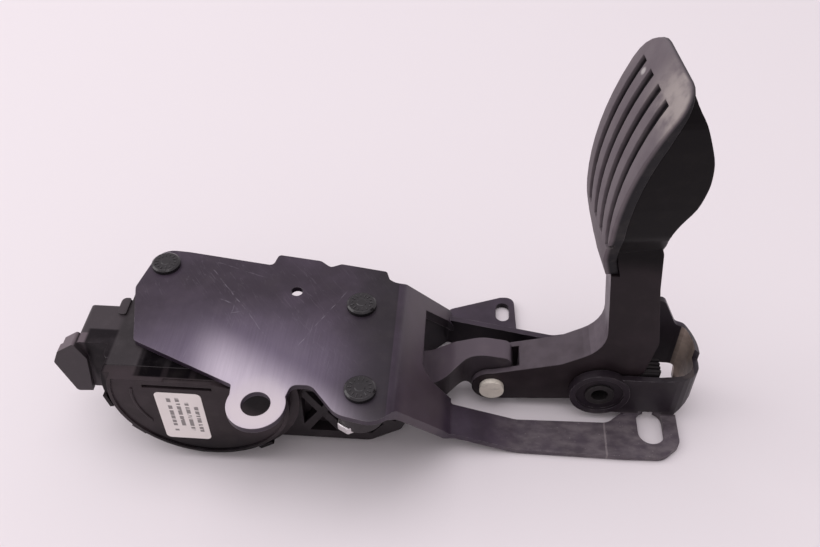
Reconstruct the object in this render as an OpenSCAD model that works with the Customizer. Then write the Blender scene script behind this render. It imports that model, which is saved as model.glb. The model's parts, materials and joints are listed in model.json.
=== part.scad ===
// Accelerator pedal: a folded steel bracket, a moulded sensor housing, its lever and a hanging pedal arm.
// X runs along the bracket towards the pedal, Y runs away along the pedal pivot, Z is up.
// The origin is the centre of the front foot's slot, on the mounting plane.

/* [Bracket sheet] */
// Thickness of the steel sheet
sheet_t = 2.5; // [2:0.1:3]
// Height of the main plate's top above the mounting plane
plate_z = 52; // [50:1:58]
// Inner bend radius of the folds
bend_r = 2.5; // [1.5:0.5:4]
// X of the fold between the main plate and the sloping wing
wing_x = -107; // [-110:1:-105]
// X of the fold between the wing and the front leg
leg_x = -85; // [-87:1:-83]
// Height of the front leg's top where it leaves the wing
leg_rise = 11; // [8:1:13]
// X where the front leg has come down to the mounting plane
leg_flat_x = -57; // [-64:1:-50]
// Width of the front leg
leg_w = 15; // [12:1:16]
// Y of the front leg's far edge
leg_y = 3; // [2:0.5:4]

/* [Mounting points] */
// Width of the front foot's open slot
foot_slot_w = 11; // [8:1:12]
// Bore of the round lug on the main plate
lug_bore = 11; // [8:0.5:13]
// Width of the steel left round that bore
lug_rim = 5.5; // [4:0.5:7]
// Width of the rear ear's slot
ear_slot_w = 6.4; // [5.5:0.1:7]
// Length of the rear ear's slot
ear_slot_l = 11.4; // [9:0.2:13]
// Diameter of the small hole in the main plate
gauge_hole = 5; // [3:0.5:7]

/* [Pedal pivot] */
// X of the pedal pivot
pivot_x = -23; // [-25:1:-21]
// Height of the pedal pivot
pivot_z = 16; // [15:1:18]
// Y of the near pivot wall's outer face
wall_y = 9; // [8:0.5:10]
// Clearance between each bush flange and its pivot wall
wall_play = 0.3; // [0.1:0.1:0.6]
// Radius of the round eyes in the pivot walls
eye_r = 12.5; // [11:0.5:14]
// Outer diameter of the pivot tube
tube_d = 12; // [10:0.5:13]
// Bore of the pivot tube
tube_bore = 7; // [5:0.5:8]

/* [Pedal arm] */
// Width of the arm along the pivot
arm_w = 16; // [15:0.5:17]
// Thickness of the arm below the pad, front to back
arm_t = 18.5; // [16:0.5:21]
// Distance from the pivot back to the link pin
link_reach = 45; // [43:1:47]
// Height of the link pin below the pivot
link_drop = 4; // [3:0.5:5]
// Diameter of the link pin
link_d = 8; // [6:0.5:9]
// Radius of the arm's cheeks round the link pin
cheek_r = 8.5; // [7.5:0.5:9]
// Outer diameter of the pivot bushes
bush_d = 15; // [14.5:0.5:17]
// Thickness of the pivot bushes' flanges
bush_flange = 1; // [0.8:0.1:1.2]

/* [Pedal pad] */
// Width of the pad
pad_w = 39; // [34:1:44]
// Height of the pad's upper end above the pivot
pad_top = 153; // [140:1:160]
// Height of the pad's lower end above the pivot
pad_low = 66; // [60:1:72]
// Radius of the pad's curve, seen from the side
pad_curve = 110; // [100:1:125]
// Amount by which the pad's near upper corner stands out sideways
pad_flare = 4; // [0:0.5:7]
// Turn of the pad about the vertical
pad_twist = 8; // [0:1:12]
// Thickness of the rubber cover under its ribs
cover_t = 2.6; // [2:0.2:4]
// Height of the ribs on the cover
rib_h = 2.4; // [1.5:0.1:3.5]
// Width of the grooves between the ribs
groove_w = 3.8; // [2:0.2:4]
// Number of grooves in the cover
groove_n = 4; // [3:1:5]

/* [Sensor housing] */
// X of the round housing's centre
drum_x = -182; // [-184:1:-180]
// Radius of the housing's flange
flange_r = 38.5; // [37:0.5:40]
// Radius of the lid inside the flange
lid_r = 35; // [33:0.5:36]
// Y of the lid's outer face
lid_y = -23; // [-24:0.5:-22]
// Y of the parting plane between lid and body
part_y = -16; // [-17:0.5:-15]
// Clearance between the lever and the body's far wall
lever_play = 0.7; // [0.5:0.1:1]
// Wall thickness of the mouldings
wall_t = 2.5; // [2:0.25:3]
// Height by which the lid clips stand out from the flange
clip_h = 1; // [0.8:0.1:1.5]

/* [Sensor lever] */
// X of the lever's axis
hub_x = -178; // [-180:1:-176]
// Height of the lever's axis
hub_z = 26; // [25:0.5:27]
// Diameter of the steel shaft that carries the lever
shaft_d = 8; // [6:0.5:9]
// Thickness of the lever's tip along its axis
lever_w = 10; // [8:0.5:10.5]
// Wire diameter of the return springs
wire_d = 2; // [1.4:0.2:2.4]

/* [Fits] */
// Radial clearance of running fits
run_gap = 0.05; // [0.02:0.01:0.1]
// Side clearance between pieces that move past each other
side_gap = 0.4; // [0.3:0.1:0.6]
// Clearance of a screw in its hole
screw_gap = 0.2; // [0.1:0.1:0.4]
// Diameter of the plate screws' shanks
screw_d = 6; // [5:0.5:7]
// Diameter of the plate screws' flat heads
head_d = 12; // [10:0.5:13]
// Thickness of those heads
head_h = 2.2; // [1.5:0.1:3]

/* [Hidden] */
$fn = 64;
cut = 1;

plate_low = plate_z - sheet_t;
wall_gap = arm_w + 2 * (bush_flange + wall_play);
far_wall_y = wall_y + 2 * sheet_t + wall_gap;
mid_y = far_wall_y / 2 + wall_y / 2;
arm_near = mid_y - arm_w / 2;
arm_far = mid_y + arm_w / 2;
link_x = pivot_x - link_reach;
link_z = pivot_z - link_drop;
arm_x = pivot_x + 6;
heel_top = [arm_x + arm_t / 2 + 2, 27];
heel_low = [pivot_x + 9, pivot_z - 3];
screws = [[-208, 36.5], [-123, 18.7], [-119, -24]];
screw_ends = [36, 40, 33.5];
channel_y = -12;
plate_seat = part_y + 1.5;
coil_from = plate_seat + wire_d / 2;
lug = [-156.5, -32.5];
lug_r = lug_bore / 2 + lug_rim;
gauge = [-150.5, 25];
ear_slot = [-62.4, 65];
drum_z = flange_r + clip_h;
body_r = flange_r - 1.5;
seal_t = 0.3;
lever_near = mid_y - lever_w / 2;
lever_far = mid_y + lever_w / 2;
back_y = lever_far + lever_play + wall_t;
bush_l = arm_w / 2 - 1;
hub_d = 32;
hub_neck_d = 21;
magnet_d = 19;
socket_x = drum_x - body_r;
contact_z = [31.5, 38.5];
contact_l = 14;
root_near = leg_y + 4;
coil_to = root_near - 0.3 - wire_d / 2;
pad_t = cover_t + rib_h;
pad_low_z = pivot_z + pad_low;
pad_top_z = pivot_z + pad_top;

// Vector helpers for outlines
function unit(v) = v / norm(v);
function left_of(v) = [-v[1], v[0]];
function xy(p) = [p[0], p[1]];
function radius_of(p) = len(p) > 2 ? p[2] : 0;

// Points of a fillet of radius r at corner b between a and c
function fillet(a, b, c, r, n = 6) =
    r <= 0 ? [b] :
    let (u = unit(a - b), v = unit(c - b),
        half = acos(max(-1, min(1, u * v))) / 2,
        centre = b + unit(u + v) * r / sin(half),
        start = b + u * r / tan(half) - centre,
        stop = b + v * r / tan(half) - centre,
        from = atan2(start[1], start[0]),
        turn = (atan2(stop[1], stop[0]) - from + 540) % 360 - 180)
    [for (k = [0 : n]) centre + r * [cos(from + turn * k / n), sin(from + turn * k / n)]];

// Closed outline from corners [x, y, radius]
function rounded(c, n = 6) =
    let (m = len(c))
    [for (i = [0 : m - 1])
        each fillet(xy(c[(i + m - 1) % m]), xy(c[i]), xy(c[(i + 1) % m]), radius_of(c[i]), n)];

// Open path from corners [x, y, radius]
function rounded_path(c, n = 6) =
    let (m = len(c))
    [for (i = [0 : m - 1])
        each i == 0 || i == m - 1 ? [xy(c[i])] : fillet(xy(c[i - 1]), xy(c[i]), xy(c[i + 1]), radius_of(c[i]), n)];

// The same path moved sideways by t, to its left where t is positive
function turn_sign(a, b, c) = sign((b - a)[0] * (c - b)[1] - (b - a)[1] * (c - b)[0]);
function beside(c, t) =
    let (m = len(c), p = [for (q = c) xy(q)])
    [for (i = [0 : m - 1])
        i == 0 ? p[0] + t * left_of(unit(p[1] - p[0])) :
        i == m - 1 ? p[i] + t * left_of(unit(p[i] - p[i - 1])) :
        let (a = left_of(unit(p[i] - p[i - 1])), b = left_of(unit(p[i + 1] - p[i])),
            q = p[i] + t * (a + b) / (1 + a * b))
        [q[0], q[1], max(0.1, radius_of(c[i]) - t * turn_sign(p[i - 1], p[i], p[i + 1]))]];

// Section of a folded sheet: a path and the same path one thickness away
function ribbon(c, t) =
    let (far = rounded_path(beside(c, t)), m = len(far))
    concat(rounded_path(c), [for (i = [0 : m - 1]) far[m - 1 - i]]);

// Smooth open curve through the points p
function smooth(p, n = 3) =
    let (m = len(p))
    concat([for (i = [0 : m - 2], k = [0 : n - 1])
        let (t = k / n, a = p[max(i - 1, 0)], b = p[i], c = p[i + 1], d = p[min(i + 2, m - 1)])
        0.5 * (2 * b + (c - a) * t + (2 * a - 5 * b + 4 * c - d) * t * t + (3 * b - a - 3 * c + d) * t * t * t)],
        [p[m - 1]]);

// A flat outline in X and Z, given depth from y0 to y1
module slab_y(y0, y1) {
    translate([0, y1, 0])
        rotate([90, 0, 0])
            linear_extrude(y1 - y0)
                children();
}

// A flat outline in Y and Z, given depth from x0 to x1
module slab_x(x0, x1) {
    translate([x0, 0, 0])
        rotate([90, 0, 90])
            linear_extrude(x1 - x0)
                children();
}

// A flat outline in X and Y, given height from z0 to z1
module slab_z(z0, z1) {
    translate([0, 0, z0])
        linear_extrude(z1 - z0)
            children();
}

// A round bar along Y
module bar_y(x, z, d, y0, y1) {
    translate([x, y1, z])
        rotate([90, 0, 0])
            cylinder(d = d, h = y1 - y0);
}

// A slot with round ends, centred on the origin and long along Y
module slot_y(w, l) {
    translate([0, (w - l) / 2])
        circle(d = w);
    translate([0, (l - w) / 2])
        circle(d = w);
    translate([-w / 2, (w - l) / 2])
        square([w, l - w]);
}

// Bracket: plate, wing, front leg and foot are one folded strip
function fold_line() = [
    [-240, plate_z], [wing_x, plate_z, bend_r + sheet_t], [leg_x, leg_rise, bend_r],
    [leg_flat_x, sheet_t, 4 * bend_r], [40, sheet_t]];

function wing_slope() = (leg_x - wing_x) / (plate_z - leg_rise);

function fold_plan() = [
    [-210, -5.5, 3], [-217.5, 23, 5], [screws[0][0] - 5, screws[0][1] + 9.5, 8],
    [screws[0][0] + 8, screws[0][1] + 8.5, 10],
    [-163, 39.5, 2], [-161.5, 46, 1.5], [-143, 43.5, 4], [-138.5, 40, 2], [-134, 42.2, 2],
    [-114.5, 39, 1.5], [-113, 34.5, 2], [wing_x - 1.5, 31.6, 4], [leg_x - 2, 53],
    [leg_x, 50], [leg_x, leg_y, 1], [leg_flat_x, leg_y, 20], [-18, leg_y + 1, 6],
    [-11, wall_y + sheet_t / 2], [11.5, wall_y + sheet_t / 2],
    [11.5, -5, 6], [4, -12, 8], [-12, leg_y - leg_w - 0.5, 12], [leg_x, leg_y - leg_w, 10],
    [wing_x + 2, -29.5, 5], [screws[2][0] + 8, screws[2][1] - 14.5, 9],
    [screws[2][0] - 8, screws[2][1] - 11, 10], [-137.5, -22.6, 5], [-145, -22.9, 3],
    [lug[0] + 10, lug[1] + 3, 1], [lug[0], lug[1] + 4], [lug[0] - 10.2, lug[1] + 1],
    [lug[0] - 10.9, lug[1] + 8.3, 1.5]];

// Cut in the wing that the sensor lever moves through
function window_plan() = [
    [wing_x + 9.5, 0.5, 4], [leg_x + cut, 6], [leg_x + cut, 47], [leg_x - 3, 45], [wing_x + 9.5, 34.5, 1]];

// Line of the folded wall in plan: flange under the wing, far wall, end wall and near wall
function wall_line() = [
    [wing_x + 2.2, 33.9], [leg_x - 3.5, 50.1, 4], [-40, far_wall_y, 30], [17, far_wall_y, 9], [17, wall_y, 9],
    [pivot_x - eye_r - 1, wall_y]];

function near_wall_side() = [
    [pivot_x, pivot_z - eye_r], [-11, pivot_z - eye_r, 1], [-10.5, 0], [10.5, 0], [10.5, 4, 2],
    [18, 15, 3], [18, 29, 3], [10, 27, 6], [1, 25.5, 4], [pivot_x, 25.5]];

function far_wall_side() = [
    [wing_x + 3, 0], [-40, 0, 4], [-34, 4, 4], [-6, 4, 2], [-4, 13.3, 2], [11.5, 13.3, 2], [12.5, 3, 1],
    [19, 3], [19, 29.5, 5], [11, 37, 4],
    [7, 38, 3], [0, 52, 3], [-9, 52, 3], [-14, 27, 6], [pivot_x - 15, 25.5, 8], [-42, 23.5, 10],
    [leg_x - 3.5, 14.5], [wing_x + 3, plate_z - 3 / wing_slope() - 2.6]];

function ear_plan() = [
    [leg_x - 3.5, 50], [leg_x - 3, 65, 3], [ear_slot[0] - 1, 74.5, 2], [-57, 75, 4], [-55, 37]];

// Stiffening lips that hang from the plate's far edge
module edge_lips() {
    lip_drop = 9;
    slab_z(plate_z - lip_drop, plate_z - sheet_t / 2)
        polygon([[-160.5, 46], [-144.5, 43.8], [-144.8, 43.8 - sheet_t], [-160.8, 46 - sheet_t]]);
    slab_z(plate_z - lip_drop, plate_z - sheet_t / 2)
        polygon([[-132, 41.9], [-115.5, 39.2], [-115.8, 39.2 - sheet_t], [-132.3, 41.9 - sheet_t]]);
}

module folded_strip() {
    difference() {
        intersection() {
            slab_y(-60, 80)
                polygon(ribbon(fold_line(), -sheet_t));
            slab_z(-5, plate_z + 5)
                union() {
                    polygon(rounded(fold_plan()));
                    translate(lug)
                        circle(r = lug_r);
                }
        }
        slab_z(-5, plate_z - sheet_t - 1)
            polygon(rounded(window_plan()));
    }
}

module wall_part(side, y0, y1) {
    intersection() {
        slab_z(-1, 80)
            polygon(ribbon(wall_line(), -sheet_t));
        slab_y(y0, y1)
            polygon(rounded(side));
    }
}

module near_eye() {
    bar_y(pivot_x, pivot_z, 2 * eye_r, wall_y, wall_y + sheet_t);
    difference() {
        bar_y(pivot_x, pivot_z, 2 * eye_r, wall_y - 1.2, wall_y);
        bar_y(pivot_x, pivot_z, 2 * eye_r - 5, wall_y - 2, wall_y + 0.1);
    }
}

module bracket() {
    color("#2b2830")
        difference() {
            union() {
                folded_strip();
                edge_lips();
                wall_part(near_wall_side(), wall_y - 1, mid_y);
                wall_part(far_wall_side(), mid_y, 80);
                near_eye();
                bar_y(pivot_x, pivot_z, 2 * eye_r, far_wall_y - sheet_t, far_wall_y);
                slab_z(0, sheet_t)
                    polygon(rounded(ear_plan()));
            }
            bar_y(pivot_x, pivot_z, tube_d, 0, far_wall_y + 5);
            translate([lug[0], lug[1], plate_low - 1])
                cylinder(d = lug_bore, h = sheet_t + 2);
            translate([gauge[0], gauge[1], plate_low - 1])
                cylinder(d = gauge_hole, h = sheet_t + 2);
            for (s = screws)
                translate([s[0], s[1], plate_low - 1])
                    cylinder(d = screw_d + 2 * screw_gap, h = sheet_t + 2);
            translate([ear_slot[0], ear_slot[1], -1])
                linear_extrude(sheet_t + 2)
                    slot_y(ear_slot_w, ear_slot_l);
            translate([0, 0, -1])
                linear_extrude(6)
                    translate([0, 3.2])
                        slot_y(foot_slot_w, foot_slot_w + 6.4);
        }
}

// Hollow tube that the pedal turns on, fixed in both walls
module pivot_tube() {
    color("#4a4a4e")
        difference() {
            bar_y(pivot_x, pivot_z, tube_d, wall_y - 1, far_wall_y + 1);
            bar_y(pivot_x, pivot_z, tube_bore, wall_y - 2, far_wall_y + 2);
        }
}

// Ribbed rubber stop on the arm's heel
function heel_edge(z) =
    heel_low[0] + (heel_top[0] - heel_low[0]) * (z - heel_low[1]) / (heel_top[1] - heel_low[1]) + 0.1;
function stop_side(grow) = [
    [heel_edge(26 + grow), 26 + grow], [heel_edge(18.5 - grow), 18.5 - grow],
    [heel_top[0] + 6 + grow, 18.5 - grow], [heel_top[0] + 6 + grow, 26 + grow]];

module stop_bumper() {
    ribs = 4;
    color("#1b1b1d")
        union() {
            slab_y(arm_near, arm_near + 2 * ribs)
                polygon(stop_side(0));
            for (k = [0 : ribs - 1])
                slab_y(arm_near + 0.6 + 2 * k, arm_near + 1.6 + 2 * k)
                    polygon(stop_side(0.9));
        }
}

// Outline of the round housing, flat where it meets the main plate
module drum_face(r) {
    intersection() {
        translate([drum_x, drum_z])
            circle(r = r);
        translate([drum_x - 60, -20])
            square([120, plate_low + 20]);
    }
}

// Outline of the channel that the lever leaves the housing through
function channel_side(x0) = [
    [x0, 3], [-118, 3, 6], [-105, 12, 5], [-102, 20], [-102, 34.5, 2], [wing_x - 3, plate_low, 2], [x0, plate_low]];

function lever_room() = [
    [hub_x, 12, 3], [-120, 6, 2], [-95, 3], [-95, 30], [-120, 36], [hub_x, 46]];

module screw_boss(p, r, z0) {
    translate([p[0], p[1], z0])
        cylinder(r = r, h = plate_low - z0);
}

// Rear shell of the housing, with the channel, the lugs and the connector moulded on
module housing_body() {
    color("#222124")
        difference() {
            union() {
                slab_y(part_y, back_y)
                    drum_face(body_r);
                slab_y(part_y, part_y + 3)
                    drum_face(flange_r);
                slab_y(channel_y, back_y)
                    polygon(rounded(channel_side(drum_x + 15)));
                screw_boss(screws[0], 8, 34);
                slab_z(34, plate_low)
                    polygon([[screws[0][0] - 8, screws[0][1]], [screws[0][0] + 8, screws[0][1]],
                        [screws[0][0] + 14, back_y - 1], [screws[0][0] - 6, back_y - 1]]);
                screw_boss(screws[2], 9, 38);
                slab_z(38, plate_low)
                    polygon([[screws[2][0] - 9, screws[2][1]], [screws[2][0] + 9, screws[2][1]],
                        [screws[2][0] + 9, channel_y + 1], [screws[2][0] - 14, channel_y + 1]]);
                corner_block();
                connector_shell();
            }
            body_room();
            gauge_relief();
            channel_ribs();
            connector_socket();
            bar_y(hub_x, hub_z, shaft_d, part_y, back_y - 1);
            for (k = [0 : 2])
                translate([screws[k][0], screws[k][1], screw_ends[k]])
                    cylinder(d = screw_d, h = plate_z - screw_ends[k]);
            contact_rods();
        }
}

// Room inside the rear shell, less a block under the plate's small hole
module body_room() {
    difference() {
        union() {
            slab_y(part_y - 1, back_y - wall_t)
                inner_face(body_r - wall_t);
            slab_y(root_near - 2, back_y - wall_t)
                polygon(rounded(lever_room()));
        }
        translate([gauge[0] - 7.5, gauge[1] - 4.5, plate_low - 8])
            cube([13, 20, 20]);
    }
}

// Notch under that hole, open to the top and the back, that light shows through
module gauge_relief() {
    translate([gauge[0] - 5, gauge[1] - 1, plate_low - 5])
        cube([8, 10, 10]);
}

// Room inside the shells, one wall below the housing's flat top
module inner_face(r) {
    intersection() {
        translate([drum_x, drum_z])
            circle(r = r);
        translate([drum_x - 60, -20])
            square([120, plate_low - wall_t + 20]);
    }
}

// Recesses that leave the crossed ribs on the channel's near side
module channel_ribs() {
    recess = 5;
    slab_y(channel_y - 1, channel_y + recess)
        union() {
            polygon([[-143, 8], [-131, 8], [-137, 18]]);
            polygon([[-145, 12], [-139, 21], [-145, 31]]);
            polygon([[-129, 12], [-135, 21], [-129, 31]]);
            polygon([[-143, 34], [-131, 34], [-137, 24]]);
            polygon([[-125, 8], [-117, 8], [-112, 15], [-121, 19]]);
            polygon([[-126, 34], [-126, 13], [-122, 21], [-122, 34]]);
            polygon([[-119, 22], [-107, 17], [-107, 34], [-119, 34]]);
        }
}

// Small block where the housing stands out beside the main plate
module corner_block() {
    slab_z(30, plate_low)
        polygon(rounded([[-221, lid_y + 10, 3], [-200, lid_y + 10], [-200, 18], [-219.5, 18, 3]]));
    slab_z(42, plate_low + 1)
        polygon(rounded([[-221.5, 9, 2], [-217.8, 9, 1], [-217.8, 18, 1], [-221.5, 18, 2]]));
}

// Plug shroud on the housing's left side
module connector_shell() {
    translate([socket_x, 0, 0])
        union() {
            slab_y(-6, 14)
                polygon(rounded([[-15, 22, 2], [5, 22], [5, plate_low], [-15, plate_low, 2]]));
            slab_y(-8, -1)
                polygon(rounded([[-20.6, 20.7, 1.5], [-14, 21.3], [-11.4, 41.7], [-15, 50.3, 1],
                    [-22.7, 45, 2], [-25.7, 38.6, 2]]));
        }
}

module connector_socket() {
    slab_y(-4, 12)
        polygon(rounded([[socket_x - 31, 25], [socket_x, 25, 1], [socket_x, 46, 1], [socket_x - 31, 46]]));
}

// Front shell of the housing
module housing_lid() {
    color("#262528")
        difference() {
            union() {
                difference() {
                    union() {
                        slab_y(lid_y, part_y - seal_t)
                            drum_face(lid_r);
                        slab_y(part_y - 4, part_y - seal_t)
                            drum_face(flange_r);
                        slab_y(lid_y - 0.6, lid_y + 0.1)
                            lid_rim();
                        slab_y(lid_y - 0.4, lid_y + 0.1)
                            lid_arc();
                    }
                    slab_y(lid_y + wall_t, part_y + 1)
                        inner_face(lid_r - wall_t);
                }
                bar_y(hub_x, hub_z, shaft_d + 6, lid_y + 1, lid_y + wall_t + 2.2);
            }
            bar_y(hub_x, hub_z, shaft_d, lid_y + wall_t, lid_y + wall_t + 4);
            lid_pocket();
            slab_y(lid_y - 1, lid_y + 1.2)
                polygon([[-203, 45.2], [-176, 45.2], [-176, 47], [-203, 47]]);
        }
    color("#262528")
        lid_clips();
}

// Raised edge round the lid's face
module lid_rim() {
    difference() {
        drum_face(lid_r);
        drum_face(lid_r - 1.4);
    }
}

// Short raised arc on the lid's face, beside the label
module lid_arc() {
    intersection() {
        difference() {
            drum_face(lid_r - 8.5);
            drum_face(lid_r - 9.5);
        }
        translate([drum_x - lid_r, drum_z - 21])
            square([lid_r - 21, 26]);
    }
}

// Recess in the lid's upper edge, under the main plate
module lid_pocket() {
    slab_y(lid_y - 1, lid_y + 1.6)
        polygon([[-196, plate_low + 1], [-194, 49], [-176, 49], [-172, 48], [-160, 45], [-158, plate_low + 1]]);
}

// Clips round the flange that hold the lid on the body
module lid_clips() {
    for (a = [191, 221, 245, 258, 305])
        translate([drum_x, 0, drum_z])
            rotate([0, -a, 0])
                union() {
                    translate([flange_r - 0.6, part_y - 4.8, -3.5])
                        cube([clip_h + 0.6, 4.5, 7]);
                    translate([flange_r + 0.1, part_y - 1, -3.5])
                        cube([clip_h - 0.1, 4, 7]);
                }
}

// Soft ring between lid and body
module lid_seal() {
    color("#5a2d22")
        slab_y(part_y - seal_t, part_y)
            difference() {
                drum_face(body_r);
                inner_face(body_r - wall_t);
            }
}

// Six contacts in two rows, from the socket into its end wall
module contact_rods() {
    for (z = contact_z, k = [0 : 2])
        translate([socket_x + 2 - contact_l, -0.7 + 5 * k, z])
            cube([contact_l, 0.8, 0.8]);
}

module connector_pins() {
    color("#c9a24a")
        contact_rods();
}

module circuit_board() {
    color("#1f5a34")
        slab_y(lid_y + wall_t, lid_y + wall_t + 1.6)
            difference() {
                intersection() {
                    translate([drum_x, drum_z])
                        circle(r = lid_r - wall_t - 0.1);
                    translate([drum_x - lid_r, drum_z - 30])
                        square([2 * lid_r, plate_low - wall_t - 3.5 - drum_z + 30]);
                }
                translate([hub_x, hub_z])
                    circle(d = shaft_d + 7);
            }
}

// Disc between the electronics and the springs, seated in the body's mouth
module spring_plate() {
    color("#8a8d92")
        slab_y(part_y, plate_seat)
            difference() {
                inner_face(body_r - wall_t);
                translate([hub_x, hub_z])
                    circle(d = 22.4);
                translate([drum_x + 29.5, 0])
                    square([20, 60]);
            }
}

// Steel shaft across the housing
module hub_shaft() {
    color("#b9bcc2")
        bar_y(hub_x, hub_z, shaft_d, lid_y + wall_t, back_y - 1);
}

// Coil of round wire about the lever's axis
module coil(r, turns, y0, y1) {
    sides = 6;
    steps = 14;
    rings = turns * steps;
    points = [for (i = [0 : rings], k = [0 : sides - 1])
        let (a = 360 * i / steps, w = 360 * k / sides, q = r + wire_d / 2 * cos(w))
        [hub_x + q * cos(a), y0 + (y1 - y0) * i / rings + wire_d / 2 * sin(w), hub_z + q * sin(a)]];
    sides_list = [for (i = [0 : rings - 1], k = [0 : sides - 1])
        [i * sides + k, i * sides + (k + 1) % sides, (i + 1) * sides + (k + 1) % sides, (i + 1) * sides + k]];
    ends = [[for (k = [0 : sides - 1]) sides - 1 - k], [for (k = [0 : sides - 1]) rings * sides + k]];
    polyhedron(points = points, faces = concat(sides_list, ends));
}

module outer_spring() {
    color("#8d9096")
        coil(18, 5, coil_from, coil_to);
}

module inner_spring() {
    color("#9a9da3")
        coil(13.5, 5, coil_from, coil_to);
}

// Flat-headed screw through the main plate
module plate_screw(p, z0) {
    color("#3a3a3e")
        union() {
            translate([p[0], p[1], plate_z])
                cylinder(d = head_d, h = head_h - 0.6);
            translate([p[0], p[1], plate_z + head_h - 0.6])
                cylinder(d1 = head_d, d2 = head_d - 1.6, h = 0.6);
            translate([p[0], p[1], z0])
                cylinder(d = screw_d, h = plate_z - z0 + 0.1);
        }
}

module screw_rear_left() {
    plate_screw(screws[0], screw_ends[0]);
}

module screw_rear_right() {
    plate_screw(screws[1], screw_ends[1]);
}

module screw_front() {
    plate_screw(screws[2], screw_ends[2]);
}

// Bright nut under the front screw
module front_nut() {
    color("#c4c6c9")
        translate([screws[2][0], screws[2][1], screw_ends[2]])
            difference() {
                cylinder(d = 11.5, h = 4.5, $fn = 6);
                translate([0, 0, -1])
                    cylinder(d = screw_d, h = 7);
            }
}

// Side outline of the pedal arm, from the link pin over the pivot to the pad's neck
function arm_side() = [
    [link_x, link_z + cheek_r], [link_x + 28, link_z + cheek_r + 8.5, 12],
    [arm_x - 6, link_z + 28, 16], [arm_x - arm_t / 2 - 2, pad_low_z - 0.5],
    each face_points(pad_t + arm_w / 2 * sin(pad_twist) + 0.2, pad_low_z - 0.5, pad_low_z + 17, 4),
    [arm_x + 3.4, pad_low_z + 18],
    [arm_x + 5.8, pad_low_z + 12, 6], [arm_x + arm_t / 2 - 1.2, pad_low_z - 6, 10],
    [arm_x + arm_t / 2 + 4.5, 45, 12], [each heel_top, 2],
    [each heel_low, 6], [pivot_x - 6, pivot_z - 9, 6], [link_x + 3, link_z - cheek_r + 0.5]];

// Curve of the pad's face at a height, before its twist
function face_x(z) = -36.4 + pad_curve - sqrt(pad_curve * pad_curve - (z - 115) * (z - 115));
function face_points(d, z0, z1, n = 12) =
    [for (k = [0 : n]) let (z = z0 + (z1 - z0) * k / n) [face_x(z) + d, z]];
function face_band(d0, d1, z0, z1, n = 12) =
    let (back = face_points(d1, z0, z1, n))
    concat(face_points(d0, z0, z1, n), [for (k = [0 : n]) back[n - k]]);

// Back of the cover, which thins towards its upper end
function seat_points(n = 14) =
    [for (k = [0 : n]) let (z = pad_low_z + (pad_top_z - pad_low_z) * k / n)
        [face_x(z) + pad_t - max(0, z - pad_top_z + 16) * 0.19, z]];
function cover_side() =
    let (back = seat_points(), m = len(back))
    concat(face_points(0, pad_low_z, pad_top_z, m - 1), [for (k = [1 : m]) back[m - k]]);

function back_points() = smooth([
    [-20.4, pad_top_z], [-19, 164], [-15.8, 158.5], [-12, 150], [-9.2, 142.4], [-8, 135], [-8, 129.5], [-9.3, 121.7],
    [-12.9, 113.9], [-14.8, 107], [-13.4, 100], [-12.6, 92], [-12.7, pad_low_z - 6]]);

function head_side() = concat(
    [[arm_x - arm_t / 2 + 4, pad_low_z - 6]], seat_points(), back_points());

// Front outline of the pad, in Y and Z
function pad_front(w, neck, top, low) = [
    [mid_y - w / 2 - pad_flare, top, 8], [mid_y + w / 2, top, 11], [mid_y + w / 2, low + 17, 14],
    [mid_y + neck, low + 2, 8], [mid_y + neck, low - 14], [mid_y - neck, low - 14],
    [mid_y - neck, low + 6, 8], [mid_y - w / 2 + 2.5, low + 25, 10], [mid_y - w / 2 + 0.6, low + 40, 20]];

module twisted() {
    translate([-30, mid_y, 0])
        rotate([0, 0, pad_twist])
            translate([30, -mid_y, 0])
                children();
}

module arm_head() {
    twisted()
        intersection() {
            slab_y(mid_y - pad_w, mid_y + pad_w)
                polygon(head_side());
            slab_x(-60, 20)
                polygon(rounded(pad_front(pad_w - 1, arm_w / 2 - 3, pad_top_z - 3, pad_low_z)));
        }
}

module pedal_arm() {
    color("#242226")
        union() {
            difference() {
                union() {
                    slab_y(arm_near, arm_far)
                        polygon(rounded(arm_side()));
                    bar_y(link_x, link_z, 2 * cheek_r, arm_near, arm_far);
                    bar_y(pivot_x, pivot_z, bush_d + 7, arm_near, arm_far);
                }
                slab_y(lever_near - side_gap, lever_far + side_gap)
                    polygon(rounded([[link_x - 15, link_z - 15], [link_x + 11, link_z - 15, 2],
                        [link_x + 11, link_z + 25, 2], [link_x - 15, link_z + 25]]));
                bar_y(link_x, link_z, link_d, 0, 50);
                bar_y(pivot_x, pivot_z, bush_d, 0, 50);
                arm_pockets();
            }
            arm_head();
        }
}

// Lightening pockets between the ribs on the arm's far side
module arm_pockets() {
    deep = arm_w - 4;
    slab_y(arm_far - deep, arm_far + 1)
        for (p = [[[-48, 12], [-37, 14], [-37, 24], [-48, 21]],
                [[-17, 30], [-9, 32], [-7, 44], [-19, 42]],
                [[-21, 46], [-7, 48], [-9.5, 62], [-22.5, 60]],
                [[-23, 64], [-9.8, 66], [-11.5, 79], [-24, 77]]])
            polygon(rounded([for (q = p) [q[0], q[1], 1.5]]));
}

// Soft ribbed cover on the face of the pad
module pad_cover() {
    color("#4b484d")
        twisted()
            difference() {
                intersection() {
                    slab_y(mid_y - pad_w, mid_y + pad_w)
                        polygon(cover_side());
                    slab_x(-60, 20)
                        polygon(rounded(pad_front(pad_w, arm_w / 2 - 0.6, pad_top_z, pad_low_z + 1)));
                }
                for (k = [0 : groove_n - 1])
                    pad_groove(k);
            }
}

module pad_groove(k) {
    pitch = (pad_w + groove_w) / (groove_n + 1);
    y = mid_y + (k - (groove_n - 1) / 2) * pitch;
    slab_y(y - groove_w / 2, y + groove_w / 2)
        polygon(face_band(-5, rib_h, pad_low_z + 19, pad_top_z - 8));
}

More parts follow.
